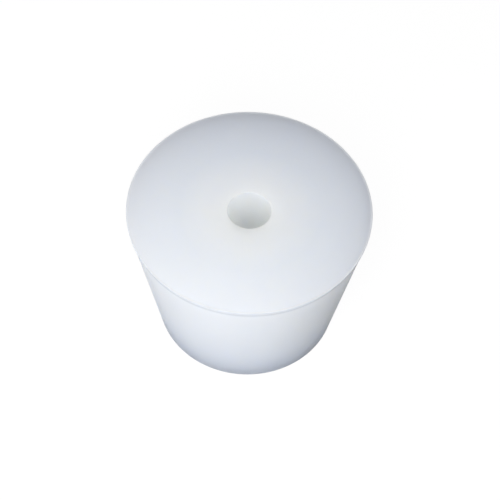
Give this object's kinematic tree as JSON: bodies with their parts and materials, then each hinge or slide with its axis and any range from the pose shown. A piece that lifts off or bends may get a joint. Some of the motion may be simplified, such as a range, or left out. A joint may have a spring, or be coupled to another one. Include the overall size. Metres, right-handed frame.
{
  "type": "rubber stopper",
  "caption": "Tapered stopper of milky silicone rubber with a straight bore down its middle; it plugs a vessel's neck and grips a tube.",
  "frame": {"origin": "centre of the narrow end's flat face", "axes": "+Z along the bore towards the wide end; the stopper is the same all round, so +X and +Y are free"},
  "size_m": [0.044, 0.044, 0.03],
  "materials": {
    "silicone": "satin, milky and slightly translucent"
  },
  "bodies": {
    "root": {"stopper": "silicone"}
  },
  "joints": []
}
